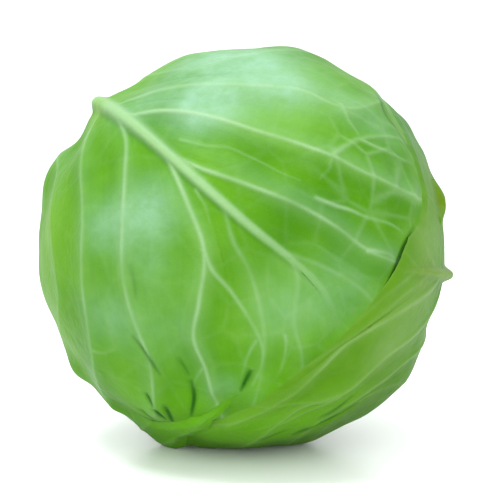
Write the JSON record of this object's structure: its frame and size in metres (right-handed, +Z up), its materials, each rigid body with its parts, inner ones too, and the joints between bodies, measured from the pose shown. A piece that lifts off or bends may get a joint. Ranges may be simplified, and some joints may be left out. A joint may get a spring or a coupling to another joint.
{
  "type": "cabbage head",
  "caption": "Round white cabbage head lying on its side, with overlapping ribbed wrapper leaves, waved leaf margins and a cut stem at the back.",
  "frame": {"origin": "centre of the small flat spot under the head, where its weight rests", "axes": "+Z up; +Y towards the back, where the cut stem points; +X to the right as seen from the front"},
  "size_m": [0.173, 0.1761, 0.1676],
  "materials": {
    "front_leaf": "waxy leaf, satin, with paler raised veins",
    "right_leaf": "waxy leaf, satin, olive green, with paler raised veins",
    "lower_leaf": "waxy leaf, satin, with paler raised veins",
    "inner_leaf": "waxy leaf, satin, paler than the outer leaves",
    "heart": "pale packed leaves, satin",
    "stem": "cut plant flesh, matt"
  },
  "bodies": {
    "root": {"front_leaf": "front_leaf", "right_leaf": "right_leaf", "lower_leaf": "lower_leaf", "upper_inner_leaf": "inner_leaf", "lower_inner_leaf": "inner_leaf", "heart": "heart", "stem": "stem"}
  },
  "joints": []
}
